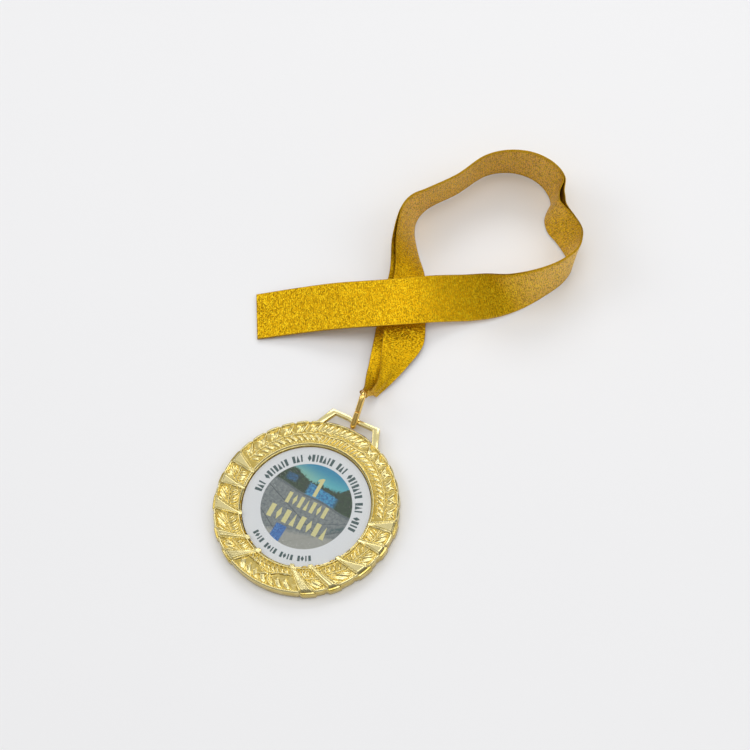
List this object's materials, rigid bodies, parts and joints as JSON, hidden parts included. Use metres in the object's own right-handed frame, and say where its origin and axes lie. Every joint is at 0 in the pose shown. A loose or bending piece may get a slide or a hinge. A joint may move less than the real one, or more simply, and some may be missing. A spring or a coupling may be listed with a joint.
{
  "type": "award medal",
  "caption": "Round cast medal with a wreath border and a printed inset disc, on an oval jump ring and a laid glitter ribbon.",
  "frame": {"origin": "the middle of the medal's flat back face, which lies on the table", "axes": "+Z out of the printed front, +Y from the middle of the medal to its hanger, +X to the right seen from the front"},
  "size_m": [0.1124, 0.2029, 0.0205],
  "materials": {
    "cast_gold": "polished",
    "tape_foam": "matte",
    "white_plastic": "gloss",
    "printed_film": "satin",
    "clear_plastic": "gloss",
    "ring_gold": "polished",
    "lurex": "metallic weave",
    "thread": "matte"
  },
  "bodies": {
    "medal": {"medal_casting": "cast_gold", "adhesive_disc": "tape_foam", "insert_plate": "white_plastic", "printed_film": "printed_film", "clear_cover": "clear_plastic"},
    "ring": {"jump_ring": "ring_gold"},
    "ribbon": {"neck_ribbon": "lurex", "ribbon_seam": "thread"}
  },
  "joints": [
    {"name": "jump_ring_swing", "type": "hinge", "parent": "medal", "child": "ring", "pos_m": [0, 0.0384, 0.0036], "axis": [1, 0, 0], "range_deg": [-100, 48]},
    {"name": "ribbon_swing", "type": "hinge", "parent": "ring", "child": "ribbon", "pos_m": [0, 0.04602, 0.01], "axis": [0.9744, 0.1446, -0.1723], "range_deg": [-50, 60]}
  ]
}
